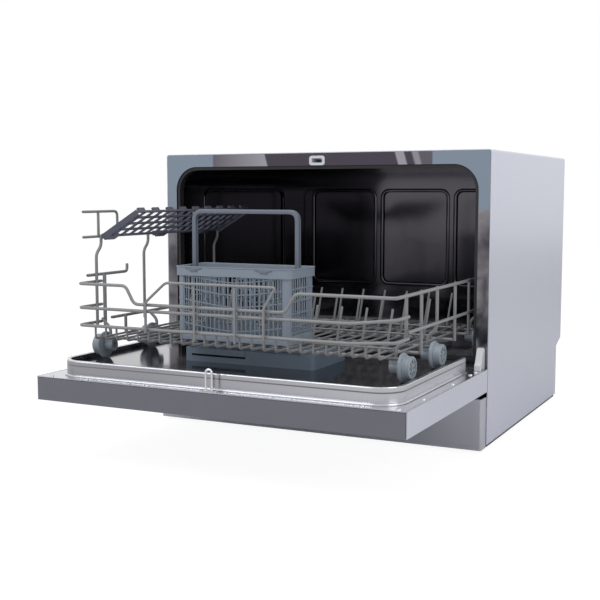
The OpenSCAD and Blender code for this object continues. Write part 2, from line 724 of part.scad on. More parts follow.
cup_r = 26;
module filter_plate() at_front() color(STEEL) translate([sump_x, sump_y, 0]) difference() {
  translate([0, 0, tub_floor + gap]) cylinder(h = 1.5, r = sump_r + 8);
  translate([0, 0, tub_floor - 1]) cylinder(h = 10, r = cup_r + gap);
  for (ring = [0 : 2], i = [0 : 19 + 4 * ring])
    rotate([0, 0, i * 360 / (20 + 4 * ring)]) translate([cup_r + 5.5 + ring * 5.5, 0, tub_floor - 1])
        cylinder(h = 5, r = 1.3);
}

module filter_cup() at_front() color([0.62, 0.66, 0.70]) translate([sump_x, sump_y, 0]) difference() {
  union() {
    translate([0, 0, 74]) cylinder(h = tub_floor + 1 - 74, r = cup_r);
    translate([0, 0, tub_floor + 1.5 + 2 * gap]) cylinder(h = 2.2, r = cup_r + 3);
    translate([0, 0, tub_floor]) cylinder(h = 4, r = cup_r - 0.4);
    // grip
    block([-cup_r + 4, -2.5, tub_floor + 1], [cup_r - 4, 2.5, tub_floor + 11]);
  }
  difference() {
    translate([0, 0, 76]) cylinder(h = 90, r = cup_r - 2);
    block([-cup_r, -2.5, 70], [cup_r, 2.5, tub_floor + 11]);
  }
  // windows of the mesh
  for (i = [0 : 7], z = [80, 98]) rotate([0, 0, i * 45 + 22.5]) block([0, -6, z], [cup_r + 5, 6, z + 14]);
}

module softener_cap() at_front() color([0.75, 0.77, 0.80]) translate([cap_x, sump_y, 0]) difference() {
  union() {
    translate([0, 0, tub_floor - 11]) cylinder(h = 13, r = 28);
    translate([0, 0, tub_floor + gap]) cylinder(h = 7, r1 = 33, r2 = 31);
    block([-26, -3, tub_floor + 6], [26, 3, tub_floor + 12]);
  }
  for (i = [0 : 11]) rotate([0, 0, i * 30]) translate([34, 0, tub_floor - 1]) cylinder(h = 10, r = 2.4);
}

arm_z = tub_floor + 15;
module spray_hub() at_front() color([0.60, 0.64, 0.70]) translate([0, arm_y, 0]) difference() {
  union() {
    translate([0, 0, tub_floor - 40]) cylinder(h = 40 + 5, r = hub_r);
    translate([0, 0, tub_floor + gap]) cylinder(h = 4, r = hub_r + 8);
    translate([0, 0, tub_floor]) cylinder(h = arm_z - tub_floor + 8, r = 8);
    translate([0, 0, pump_out]) rotate([90, 0, 0]) cylinder(h = arm_y - pump_join - gap, r = 11);
  }
  translate([0, 0, tub_floor - 38]) cylinder(h = 40 + 15, r = 6);
  translate([0, 0, pump_out]) rotate([90, 0, 0]) cylinder(h = 40, r = 8);
}

// Long blade with round ends, thickest at its middle, with rows of slanted jets
module blade() intersection() {
  translate([0, 0, arm_z]) linear_extrude(10) {
    polygon([[-24, -20], [24, -20], [arm_r - 16, -13], [arm_r - 16, 13], [24, 20], [-24, 20], [-arm_r + 16,
        13], [-arm_r + 16, -13]]);
    for (s = [-1, 1]) translate([s * (arm_r - 16), 0]) circle(13);
    circle(26);
  }
  along_y(-40, 40) polygon([[-arm_r, arm_z + 2], [-60, arm_z], [60, arm_z], [arm_r, arm_z + 2], [arm_r,
      arm_z + 7.5], [60, arm_z + 10], [-60, arm_z + 10], [-arm_r, arm_z + 7.5]]);
}
module spray_arm() at_front() color([0.66, 0.70, 0.76]) translate([0, arm_y, 0]) difference() {
  union() {
    blade();
    translate([0, 0, arm_z - 4]) cylinder(h = 15.5, r = 12);
  }
  translate([0, 0, arm_z - 5]) cylinder(h = 14, r = 8 + gap);
  for (s = [-1, 1], i = [0 : 3]) translate([s * (50 + i * 36), s * (i % 2 == 0 ? 4 : -4), arm_z + 2])
    rotate([s * 18, 0, 0]) plate([-5, -1.2], [5, 1.2], 1.1, 0, 14);
}

motor_r = 33;
motor_end = 125;
module wash_pump() at_front() color([0.25, 0.26, 0.28]) translate([pump_x, sump_y, pump_z]) difference() {
  union() {
    rotate([0, 90, 0]) cylinder(h = 34, r = 40);
    rotate([0, 90, 0]) translate([0, 0, 33]) cylinder(h = motor_end - 33, r = motor_r);
    translate([-pump_x, 0, pump_out - pump_z]) rotate([-90, 0, 0]) cylinder(h = pump_join - sump_y, r = 11);
    block([40, -22, foot_h + tray_t + gap - pump_z], [116, 22, -20]);
  }
  rotate([0, 90, 0]) translate([0, 0, -1]) cylinder(h = 20, r = 11);
  translate([-pump_x, 20, pump_out - pump_z]) rotate([-90, 0, 0]) cylinder(h = pump_join - sump_y, r = 8);
  // cooling grooves along the motor
  for (i = [0 : 11]) rotate([i * 30, 0, 0]) block([50, motor_r - 3, -3], [motor_end - 5,
      motor_r + 3, 3]);
}

module drain_pump() at_front() color([0.3, 0.31, 0.33]) translate([sump_x, drain_y, 0]) {
  translate([0, 0, 50]) rotate([0, 90, 0]) cylinder(h = 60, r = 24);
  translate([-22, 0, 50]) rotate([0, 90, 0]) cylinder(h = 22.5, r = 29);
  block([0, -18, foot_h + tray_t + gap], [50, 18, 34]);
  // inlet in line with the sump, outlet in line with the drain
  translate([0, -30, 70]) rotate([-90, 0, 0]) cylinder(h = 30, r = 11);
  translate([drain_x - sump_x, 0, port_z]) rotate([-90, 0, 0]) difference() {
    cylinder(h = drain_start - drain_y - gap, r = 9);
    translate([0, 0, 22]) cylinder(h = 30, r = 6);
  }
}

module inlet_valve() at_front() color(PALE) translate([inlet_x, body_d - recess_d, port_z]) {
  difference() {
    union() {
      rotate([-90, 0, 0]) cylinder(h = 19, r = inlet_r);
      rotate([90, 0, 0]) cylinder(h = 50, r = 11);
      block([-19, -sheet - 6, -19], [19, -sheet - gap, 19]);
      block([-16, -46, -14], [16, -14, 26]);
      translate([0, -52, 12]) rotate([90, 0, 0]) translate([0, 0, -10]) cylinder(h = 24, r = 8);
    }
    rotate([-90, 0, 0]) cylinder(h = 20, r = 8);
  }
}

module inlet_hose() at_front() color([0.75, 0.75, 0.78]) translate([inlet_x, body_d - recess_d - 66 - gap,
    port_z + 12])
  rotate([90, 0, 0]) difference() {
    union() {
      cylinder(h = 190, r = 8);
      for (i = [0 : 17]) translate([0, 0, 8 + i * 10]) cylinder(h = 3, r = 9.2);
    }
    translate([0, 0, -1]) cylinder(h = 192, r = 5.5);
  }

drain_start = 347;
module drain_hose() at_front() color(DARK) translate([drain_x, 0, port_z]) rotate([-90, 0, 0]) difference() {
  union() {
    translate([0, 0, drain_start]) cylinder(h = body_d - recess_d - drain_start + 1, r = drain_r - 0.4);
    // plain spigot outside the casing
    translate([0, 0, body_d - recess_d]) cylinder(h = 22, r = drain_r);
    translate([0, 0, body_d - recess_d - 18]) cylinder(h = 18 - sheet - gap, r = drain_r + 5);
    for (y = [drain_start + 6 : 9 : body_d - recess_d - 24]) translate([0, 0, y]) cylinder(h = 3,
        r = drain_r + 1.4);
  }
  translate([0, 0, drain_start - 1]) cylinder(h = body_d, r = drain_r - 3);
}

module cord_gland() at_front() color([0.1, 0.1, 0.1]) translate([gland_x, body_d - recess_d, port_z])
    rotate([-90, 0, 0]) difference() {
  union() {
    translate([0, 0, gap]) cylinder(h = 3, r = 13);
    translate([0, 0, -8]) cylinder(h = 12, r = 9 - gap);
    translate([0, 0, 2]) cylinder(h = 18, r1 = 9, r2 = 6.5);
  }
  translate([0, 0, -10]) cylinder(h = 40, r = 3.6);
}

// ---------- rack ----------

// Rail round the front: it starts at the left post, turns two square corners and runs back on the right
corner_x = rack_hw - corner_r;
module corner(x, z, turn) translate([x, rack_y0 + corner_r, z]) rotate([0, 0, turn])
  rotate_extrude(angle = 90) translate([corner_r, 0]) circle(d = rail_d);
module front_rail(pts, z_left, z_right, y_right) {
  bar([-rack_hw, post_y, z_left], [-rack_hw, rack_y0 + corner_r, z_left], rail_d);
  corner(-corner_x, z_left, 180);
  wire(concat([[-corner_x, rack_y0, z_left]], pts, [[corner_x, rack_y0, z_right]]), rail_d);
  corner(corner_x, z_right, 270);
  bar([rack_hw, rack_y0 + corner_r, z_right], [rack_hw, y_right, z_right], rail_d);
}

dip_x0 = -160;
dip_x1 = 105;
dip_z = 223;
loop_z = 255;
module rack_front_rails() at_front() color(WIRE) {
  front_rail([[dip_x0, rack_y0, rail_z1], [dip_x0 + 14, rack_y0, dip_z], [dip_x1 - 17, rack_y0, dip_z],
      [dip_x1, rack_y0, rail_z1]],
    rail_z1, rail_z1, rack_y1);
  front_rail([[rack_hw - 60, rack_y0, rail_z2], [corner_x - 6, rack_y0, rail_z2 + 7]], rail_z2, rail_z2 + 7,
    post_y - 8);
  front_rail([[rack_hw - 60, rack_y0, rail_z3], [corner_x - 6, rack_y0, rail_z3 + 4]], rail_z3, rail_z3 + 4,
    post_y - 8);
  // raised loop in front of the basket
  wire([[-124, rack_y0 - rail_d - weld, rail_z3 - 4], [-124, rack_y0 - rail_d - weld, dip_z + 4], [-91,
      rack_y0 - rail_d - weld, loop_z],
    [77, rack_y0 - rail_d - weld, loop_z], [59, rack_y0 - rail_d - weld, dip_z + 4], [59,
        rack_y0 - rail_d - weld, rail_z3 - 4]], wire_d + 0.6);
  // short uprights in the loop's plane
  for (x = [-46, 16]) bar([x, rack_y0 - rail_d - weld, rail_z3 - 11], [x, rack_y0 - rail_d - weld,
      loop_z - wire_d / 2 - 0.3 - weld], wire_d);
}

// Uprights: beside a wheel they step inwards to clear it
in_x = rack_hw - rail_d - weld;
step_x = wheel_x - wheel_w - 7;
plain_y = [-177, -36, 30, rack_y1 - 4];
module uprights(top) {
  for (y = plain_y) bar([in_x, y, cross_z], [in_x, y, top], rail_d);
  for (y = wheel_y) wire([[step_x, y, cross_z + rail_d / 2 + weld], [step_x, y, rail_z3 - 9], [in_x, y,
      rail_z3 + 3], [in_x, y, top]], rail_d);
}
module rack_right_side() at_front() color(WIRE) {
  uprights(rail_z1 + 2);
  wire([[rack_hw, wheel_y[0] - 7, rail_z3 + 12], [rack_hw, rack_y1, rail_z3 + 12]], rail_d);
}

// Left side: posts that carry the cup shelf's hinge wire, jogged backwards near the top
shelf_post_y = [-246, -127, 82];
hinge_wire = rail_d - 0.6;
shelf_x = in_x + rail_d / 2 + hinge_wire / 2 + weld;
thick_d = rail_d + 0.8;
thick_x = rack_hw - rail_d / 2 - thick_d / 2 - weld;
post_low = rail_z3 - 6;
guard = 82;
guard_h = 36;
guard_y = [-188, 106];
module rack_left_side() at_front() color(WIRE) {
  mirror([1, 0, 0]) uprights(rail_z3 + 6);
  for (y = shelf_post_y)
    wire([[-in_x, y, post_low], [-in_x, y, 288], [-in_x, y + jog, 300], [-in_x, y + jog, shelf_z + 3]],
        rail_d);
  bar([-thick_x, post_y, post_low], [-thick_x, post_y, rail_z1 + 10], thick_d);
  wire([[-rack_hw, -206, rail_z3 + 3], [-rack_hw, rack_y1, rail_z3 + 3]], rail_d);
  wire([[-rack_hw, -262, rail_z1 + 10], [-rack_hw, -165, rail_z1 + 10], [-rack_hw, -165, rail_z1 + 22]],
      rail_d);
  // hinge wire, with a guard loop at each end
  translate([-shelf_x, 0, shelf_z]) {
    wire([[0, guard_y[0] - guard, guard_h], [0, guard_y[0], guard_h], [0, guard_y[0], 0]], hinge_wire);
    wire([[0, guard_y[1] - guard, 0], [0, guard_y[1] - guard, guard_h], [0, guard_y[1], guard_h], [0,
        guard_y[1], 0],
      [0, guard_y[0] - guard, 0]], hinge_wire);
    bar([0, shelf_post_y[0] + jog, 0], [0, shelf_post_y[0] + jog, guard_h], hinge_wire);
  }
}

wire_n = floor((rack_hw - 20) / wire_pitch);
module rack_base() at_front() color(WIRE) {
  // wires from front to back, turned up under the lower front rail
  for (i = [-wire_n : wire_n]) translate([i * wire_pitch, rack_y1 - 2, base_z]) rotate([90, 0, 0])
      rotate([0, 0, 90])
    square_wire([[rack_l - 12, 0], [rail_z3 - base_z - 14, 0]], 5, wire_d);
  // cross wires under them
  for (y = plain_y) bar([-in_x + rail_d / 2 + weld, y, cross_z], [in_x - rail_d / 2 - weld, y, cross_z],
      rail_d);
  for (y = wheel_y) bar([-step_x - 4, y, cross_z], [step_x + 4, y, cross_z], rail_d);
}

tine_rows = [[-205, 5, 11], [-60, -11, 11], [40, -11, 11]];
module rack_tines() at_front() color(WIRE) for (row = tine_rows) {
  y = row[0];
  bar([row[1] * wire_pitch - 8, y, tine_z], [row[2] * wire_pitch + 8, y, tine_z], wire_d);
  for (i = [row[1] : 2 : row[2]]) translate([i * wire_pitch, y, tine_z]) rotate([0, tine_lean, 0]) {
    cylinder(h = tine_h - 1, d = wire_d);
    translate([0, 0, tine_h - 1]) sphere(d = wire_d + 0.3);
  }
}

// Clips that hold the axles under the side wires
module clip(y) difference() {
  union() {
    translate([wheel_x - wheel_w - 14, y, wheel_z]) rotate([0, 90, 0]) cylinder(h = 13, r = 8);
    block([wheel_x - wheel_w - 14, y - 7, wheel_z], [wheel_x - wheel_w - 1, y + 7,
        cross_z - rail_d / 2 - 0.1]);
    translate([wheel_x - wheel_w - 2, y, wheel_z]) rotate([0, 90, 0]) cylinder(h = wheel_w + 1, r = axle_r);
  }
  translate([wheel_x - wheel_w - 15, y, wheel_z]) rotate([0, 90, 0]) cylinder(h = 5, r = 5);
}
module wheel_clips() at_front() color(BLUE) mirror_copy() for (y = wheel_y) clip(y);

module wheel(y) translate([wheel_x - wheel_w, y, wheel_z]) rotate([0, 90, 0]) difference() {
  rotate_extrude() polygon([[axle_r + 0.1, 0], [wheel_r - 3, 0], [wheel_r, 1.2], [wheel_r, 3.6],
      [wheel_r - 1.5, 5], [tread_r + 1, 5.6], [tread_r + 1, 7.6],
    [tread_r, 8.2], [tread_r, wheel_w - 1], [tread_r - 1, wheel_w], [tread_r - 3, wheel_w], [tread_r - 3,
        wheel_w - 1], [4.6, wheel_w - 1],
    [4.6, wheel_w], [axle_r + 0.1, wheel_w]]);
  for (i = [0 : 7]) rotate([0, 0, i * 45]) translate([8.4, 0, wheel_w - 6]) cylinder(h = 7, r = 2.3);
}
module wheel_right_front() at_front() color(BLUE) wheel(wheel_y[0]);
module wheel_right_middle() at_front() color(BLUE) wheel(wheel_y[1]);
module wheel_right_rear() at_front() color(BLUE) wheel(wheel_y[2]);
module wheel_left_front() at_front() color(BLUE) mirror([1, 0, 0]) wheel(wheel_y[0]);
module wheel_left_middle() at_front() color(BLUE) mirror([1, 0, 0]) wheel(wheel_y[1]);
module wheel_left_rear() at_front() color(BLUE) mirror([1, 0, 0]) wheel(wheel_y[2]);

// ---------- cup shelf ----------

shelf_y0 = -240;
shelf_t = 3;
// the lattice lies under the hinge wire, so that it folds up beside the guard loops
shelf_drop = 5;
lattice_x0 = 9;
clip_l = 24;
clip_r = hinge_wire / 2 + 1.8;
cells_w = 4;
cells_l = 15;
rib = 2.4;
module cup_shelf() at_front() color([0.30, 0.32, 0.38])
  translate([-shelf_x, shelf_y0, shelf_z]) rotate([0, -shelf_slope, 0]) {
    cell_w = (shelf_w - lattice_x0 - 5 - (cells_w - 1) * rib) / cells_w;
    cell_l = (shelf_l - 10 - (cells_l - 1) * rib) / cells_l;
    translate([0, 0, -shelf_drop]) difference() {
      union() {
        block([lattice_x0, 0, -shelf_t / 2], [shelf_w, shelf_l, shelf_t / 2]);
        // end walls, and teeth along the inner edge
        for (y = [0, shelf_l - rib]) block([lattice_x0 + 1, y, -6], [shelf_w, y + rib, 2.5]);
        for (i = [0 : 8]) translate([0, 8 + i * (shelf_l - 32) / 8, 0]) block([shelf_w - 3, 0, 0],
            [shelf_w, 16, 6]);
      }
      for (i = [0 : cells_w - 1], j = [0 : cells_l - 1])
        translate([lattice_x0 + 2.5 + i * (cell_w + rib), 5 + j * (cell_l + rib), -shelf_t])
          cube([cell_w, cell_l, 2 * shelf_t]);
    }
    // clips on the hinge wire
    for (y = [16, 146, 276]) translate([0, y, 0]) rotate([-90, 0, 0]) difference() {
      union() {
        cylinder(h = clip_l, r = clip_r);
        block([0, hinge_wire / 2 + 0.4, 0], [lattice_x0 + 3, shelf_drop + shelf_t / 2, clip_l]);
      }
      translate([0, 0, -1]) cylinder(h = clip_l + 2, r = hinge_wire / 2 + 0.1);
      translate([-clip_r - 1, -1.2, -1]) cube([clip_r + 1, 2.4, clip_l + 2]);
    }
  }

// ---------- cutlery basket ----------

basket_y0 = -240;
basket_low = base_z + wire_d / 2 + gap;
wall = 2.2;

// Windows of one wall: n columns and m rows in a panel
module windows(w, h, n, m, bar_w = 2.2) {
  cw = (w - (n - 1) * bar_w) / n;
  ch = (h - (m - 1) * bar_w) / m;
  for (i = [0 : n - 1], j = [0 : m - 1]) translate([i * (cw + bar_w), j * (ch + bar_w)]) square([cw, ch]);
}

// Panels that are joined with a hair's breadth between them: floor, front, back, two ends, three dividers
module cutlery_basket() at_front() color(BLUE) translate([basket_x, basket_y0, basket_low]) {
  w = basket_w;
  l = basket_l;
  h = basket_z - basket_low;
  field_x = [-w / 2 + 9, -w / 4 + 3.5, 3.5, w / 4 + 3.5];
  field_w = [w / 4 - 12.5, w / 4 - 7, w / 4 - 7, w / 4 - 12.5];
  difference() {
    union() {
      plate([-w / 2 + 3, 2], [w / 2 - 3, l - 2], 6, 0, h - 12);
      plate([-w / 2, 0], [w / 2, l], 7, h - 14, h);
    }
    plate([-w / 2 + 3 + wall, 2 + wall], [w / 2 - 3 - wall, l - 2 - wall], 4, wall, h + 1);
    // seams between the panels
    block([-w / 2 - 1, -1, wall], [w / 2 + 1, l + 1, wall + weld]);
    for (s = [-1, 1], e = [-1, 1]) translate([s * (w / 2 - 9), l / 2 + e * (l / 2 - 8), wall]) rotate([0, 0,
        s * e * 45]) block([s > 0 ? 0 : -20, -weld / 2, 0], [s > 0 ? 20 : 0, weld / 2, h]);
    // mesh of the front and back, four fields side by side
    for (k = [0 : 3]) along_y(-1, l + 1) translate([field_x[k], 12]) windows(field_w[k], h - 40, 4, 6);
    // mesh of the ends
    along_x(-w, w) translate([12, 12]) windows(l - 24, h - 40, 5, 6);
    // mesh of the floor
    for (k = [0 : 3]) translate([field_x[k], 12, -1]) linear_extrude(5) windows(field_w[k], l - 24, 3, 5);
  }
  for (x = [-w / 4, 0, w / 4])
    block([x - 1, 2 + wall + weld, wall + weld], [x + 1, l - 2 - wall - weld, h - 16]);
}

module basket_handle() at_front() color([0.42, 0.46, 0.53]) translate([basket_x, basket_y0 + basket_l / 2,
    basket_z]) {
  x = basket_w / 2 - 3 - wall - gap;
  along_y(-4, 4) difference() {
    rounded([-x, -14], [x, handle_h], 12);
    rounded([-x + 6, -20], [x - 6, handle_h - 6], 7);
    translate([-x - 1, -21]) square([2 * x + 2, 6.8]);
  }
}

outer_casing();
rear_panel();
base_tray();
plinth();
feet();
front_cross_member();
tub();
door_seal();
rack_runner_left();
rack_runner_right();
lock_housing();
lock_catch();
hinge_bracket_left();
hinge_bracket_right();
hinge_arm_left();
hinge_arm_right();
hinge_pins();
hinge_springs();
hinge_covers();
sump();
filter_plate();
filter_cup();
softener_cap();
spray_hub();
spray_arm();
heater();
wash_pump();
drain_pump();
inlet_valve();
inlet_hose();
drain_hose();
cord_gland();
door_outer_panel();
control_panel();
display_window();
button_power();
button_programme();
button_delay();
button_start();
door_inner_pan();
door_hook();
dispenser_body();
dispenser_lid();
rinse_cap();
door_screws();
rack_front_rails();
rack_right_side();
rack_left_side();
rack_base();
rack_tines();
wheel_clips();
wheel_left_front();
wheel_left_middle();
wheel_left_rear();
wheel_right_front();
wheel_right_middle();
wheel_right_rear();
cup_shelf();
cutlery_basket();
basket_handle();
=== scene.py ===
"""Looks of a countertop dishwasher with its door lowered and its rack drawn out.

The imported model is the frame. Pieces made here are surfaces worked out on numpy grids, in
millimetres from the casing's front plane, and turned to metres of the frame at the end.
"""
import json
import math

import bpy
import numpy as np
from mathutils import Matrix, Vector


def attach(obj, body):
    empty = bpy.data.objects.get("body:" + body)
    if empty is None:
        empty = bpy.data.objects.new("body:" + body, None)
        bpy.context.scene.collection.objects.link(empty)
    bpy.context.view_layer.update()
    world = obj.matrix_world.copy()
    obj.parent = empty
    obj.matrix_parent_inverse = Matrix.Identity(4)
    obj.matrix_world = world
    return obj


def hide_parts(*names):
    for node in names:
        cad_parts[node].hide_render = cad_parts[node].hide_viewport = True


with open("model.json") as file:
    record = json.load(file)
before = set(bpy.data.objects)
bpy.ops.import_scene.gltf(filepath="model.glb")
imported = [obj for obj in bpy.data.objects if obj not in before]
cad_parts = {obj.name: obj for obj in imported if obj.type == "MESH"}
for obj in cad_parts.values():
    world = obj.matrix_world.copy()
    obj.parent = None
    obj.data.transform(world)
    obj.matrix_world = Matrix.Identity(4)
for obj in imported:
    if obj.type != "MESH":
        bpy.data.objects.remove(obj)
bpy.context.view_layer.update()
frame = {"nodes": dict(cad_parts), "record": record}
SLOT = {p["node"]: p["material_slot"] for p in frame["record"]["subparts"]}
FRONT = -70.0  # y of the casing's front plane, mm


# ---------- camera ----------

EYE = (0.6976, -1.5404, 0.3769)  # metres of the frame
YAW, PITCH = math.radians(-26.31), math.radians(-5.87)
FILM, LENS = 36, 62.98


def place_camera():
    """A pinhole at the photograph's station: aim = (sin yaw cos pitch, cos yaw cos pitch, sin pitch)."""
    level = math.cos(PITCH)
    aim = Vector((math.sin(YAW) * level, math.cos(YAW) * level, math.sin(PITCH)))
    data = bpy.data.cameras.new("camera")
    data.sensor_width, data.sensor_fit, data.lens = FILM, "HORIZONTAL", LENS
    eye = bpy.data.objects.new("camera", data)
    eye.location = EYE
    eye.rotation_euler = aim.to_track_quat("-Z", "Y").to_euler()
    bpy.context.scene.collection.objects.link(eye)
    bpy.context.scene.camera = eye


place_camera()


# ---------- shaders ----------

class Value:
    """A socket whose arithmetic adds Math nodes: a + b, a * b, 1 - a and so on."""

    def __init__(self, maker, socket):
        self.maker, self.socket = maker, socket

    def math(self, kind, *rest):
        """One Math node of this kind on the values given."""
        return self.maker.node("ShaderNodeMath", {"operation": kind}, dict(enumerate(rest)))

    def __add__(self, o): return self.math("ADD", self, o)
    def __radd__(self, o): return self.math("ADD", o, self)
    def __sub__(self, o): return self.math("SUBTRACT", self, o)
    def __rsub__(self, o): return self.math("SUBTRACT", o, self)
    def __mul__(self, o): return self.math("MULTIPLY", self, o)
    def __rmul__(self, o): return self.math("MULTIPLY", o, self)
    def __truediv__(self, o): return self.math("DIVIDE", self, o)
    def clip(self): return self.maker.node("ShaderNodeClamp", {}, {0: self})


class Finish:
    """One material; node() adds any node from its type, its settings and its sockets' values or links."""

    def __init__(self, name):
        self.material = bpy.data.materials.new(name)
        self.material.use_nodes = True
        self.tree = self.material.node_tree
        self.tree.nodes.clear()
        self.out = self.tree.nodes.new("ShaderNodeOutputMaterial")

    def node(self, kind, settings=None, sockets=None, out=0):
        """A node of this type: its settings are set first, then its sockets, and out is the output used."""
        made = self.tree.nodes.new(kind)
        for key, setting in (settings or {}).items():
            setattr(made, key, setting)
        for key, value in (sockets or {}).items():
            if isinstance(value, Value):
                self.tree.links.new(value.socket, made.inputs[key])
            else:
                made.inputs[key].default_value = value
        return Value(self, made.outputs[out])

    def place(self, scale=(1, 1, 1)):
        """Object coordinates, stretched by scale."""
        here = self.node("ShaderNodeTexCoord", out="Object")
        return self.node("ShaderNodeMapping", {}, {"Vector": here, "Scale": scale})

    def noise(self, size, detail=3, rough=0.55, stretch=(1, 1, 1)):
        """Noise from 0 to 1 whose lumps are about size metres across."""
        return self.node("ShaderNodeTexNoise", {}, {"Vector": self.place(stretch), "Scale": 1 / size,
                                                   "Detail": detail, "Roughness": rough})

    def blend(self, factor, a, b):
        """Colour a at factor 0 and colour b at factor 1."""
        return self.node("ShaderNodeMix", {"data_type": "RGBA"}, {0: factor, 6: a, 7: b}, out=2)

    def bump(self, height, strength, depth=0.0002):
        """A normal bent by a height from 0 to 1 that stands for depth metres."""
        return self.node("ShaderNodeBump", {}, {"Height": height, "Strength": strength, "Distance": depth})

    def surface(self, **sockets):
        """The finished material; base_color names the socket Base Color, and so on."""
        named = {key.replace("_", " ").title(): value for key, value in sockets.items()}
        shader = self.node("ShaderNodeBsdfPrincipled", {}, named)
        self.tree.links.new(shader.socket, self.out.inputs[0])
        return self.material


def shade(colour, k=1.0):
    """An opaque colour k times as light."""
    red, green, blue = colour
    return red * k, green * k, blue * k, 1.0


SCRATCH, DRAWN = 0.0005, 0.012  # a scratch's width in metres, and how far noise is drawn out along it


def painted(name, colour, rough, flake=0.06):
    """Silver coach paint: fine flakes lift the colour, and a slow orange-peel bends the gloss."""
    f = Finish(name)
    grain = f.noise(0.0006, 2, 0.6)
    cloud = f.noise(0.09, 3)
    tint = f.blend((grain - 0.4) * flake * 8 + (cloud - 0.5) * 0.25 + 0.5,
                   shade(colour, 0.93), shade(colour, 1.07))
    peel = f.noise(0.004, 2)
    return f.surface(base_color=tint, metallic=0.55, roughness=rough + (grain - 0.5) * 0.08,
                     normal=f.bump(peel, 0.06), coat_weight=0.12, coat_roughness=0.15)


def steel(name, colour, rough, along):
    """Rolled steel: scratches drawn out along one axis vary the gloss, and slow clouds vary the tone."""
    f = Finish(name)
    stretch = tuple(DRAWN if axis == along else 1 for axis in range(3))
    lines = f.noise(SCRATCH, 2, 0.6, stretch)
    cloud = f.noise(0.06, 3)
    tone = f.blend(cloud * 0.6 + lines * 0.4, shade(colour, 0.90), shade(colour, 1.10))
    return f.surface(base_color=tone, metallic=1.0,
                     roughness=rough + (lines - 0.5) * 0.10 + (cloud - 0.5) * 0.05,
                     normal=f.bump(lines, 0.05, 0.00005))


def above(value, edge, slope):
    """0 below an edge and 1 above it, rising by slope per mm."""
    return ((value - edge) * slope).clip()


def below(value, edge, slope):
    """1 below an edge and 0 above it, falling by slope per mm."""
    return ((edge - value) * slope).clip()


def tub_steel(name):
    """Mirror-rolled steel: silvery on the door, and painted near black in the tub as painted shade.

    The front frame carries painted reflections: blue-grey in the upper corners, dark with a few pale bands
    between them, and paler and mottled lower down. The masks are in mm of the frame.
    """
    # Painted reflections for the front frame, and a painted shade for the inside of the tub
    blue_grey_reflection, dark_reflection, pale = (0.215, 0.26, 0.32, 1), (0.072, 0.062, 0.082, 1), (0.42, 0.41, 0.45, 1)
    dark_mottled_reflection, pale_mottled_reflection, painted_tub_shade = (0.05, 0.045, 0.055, 1), (0.42, 0.40, 0.43, 1), (0.085, 0.08, 0.092, 1)
    silver, pan_grey, rim_grey = (0.60, 0.61, 0.65, 1), (0.21, 0.20, 0.22, 1), (0.36, 0.36, 0.385, 1)
    f = Finish(name)
    here = f.place((1000, 1000, 1000))
    x, y, z = (f.node("ShaderNodeSeparateXYZ", {}, {0: here}, out=k) for k in range(3))
    lines = f.noise(SCRATCH, 2, 0.6, (DRAWN, 1, 1))
    cloud = f.noise(0.07, 3)
    inside, door = above(y, -69.6, 4), below(y, -74, 2)
    pan = door * above(z, 135, 2) * below(z, 137.4, 2)
    rim = door * above(z, 123, 2) * below(z, 141.5, 2) * (1 - pan)
    # Masks for the painted reflections: the frame's middle, and pale bands that lean with height
    middle = below(x.math("ABSOLUTE", x), 187, 0.6)
    lean = x + (z - 427) * 0.3
    left_reflection_band = ((x + 220) / 130).clip() * below(lean, -88, 0.4)
    right_reflection_bands = above(lean, 129, 0.4) - above(lean, 143, 0.4) \
        + above(lean, 155, 0.3) * 0.8 - above(lean, 165, 0.3) * 0.6
    bands = left_reflection_band + right_reflection_bands
    tone = f.blend(middle, blue_grey_reflection, dark_reflection)
    tone = f.blend(bands.clip() * middle * 0.7, tone, pale)
    # Painted reflection below z 352: a mottle of dark and pale
    tone = f.blend(below(z, 352, 0.8), tone, f.blend(cloud * 2.4 - 0.7, dark_mottled_reflection, pale_mottled_reflection))
    # Painted shade: everything behind the front plane is made near black
    tone = f.blend(inside, tone, painted_tub_shade)
    tone = f.blend(door, tone, silver)
    tone = f.blend(pan, tone, pan_grey)
    tone = f.blend(rim * (0.75 - x / 400).clip(), tone, rim_grey)
    return f.surface(base_color=tone, metallic=1.0,
                     roughness=0.12 + (door - pan) * 0.12 + (lines - 0.5) * 0.06 + (cloud - 0.5) * 0.05,
                     normal=f.bump(lines, 0.02, 0.00003))


def moulded(name, colour, rough, grain=0.0009, depth=0.12, vary=0.07, coat=0.0):
    """Moulded plastic: a fine spark-eroded grain and a faint flow of tone."""
    f = Finish(name)
    pits = f.noise(grain, 3, 0.6)
    flow = f.noise(0.03, 3)
    tone = f.blend(flow * 0.7 + pits * 0.3, shade(colour, 1 - vary), shade(colour, 1 + vary))
    return f.surface(base_color=tone, roughness=rough + (pits - 0.5) * 0.16 + (flow - 0.5) * 0.05,
                     normal=f.bump(pits, depth, 0.0001), coat_weight=coat, coat_roughness=0.2)


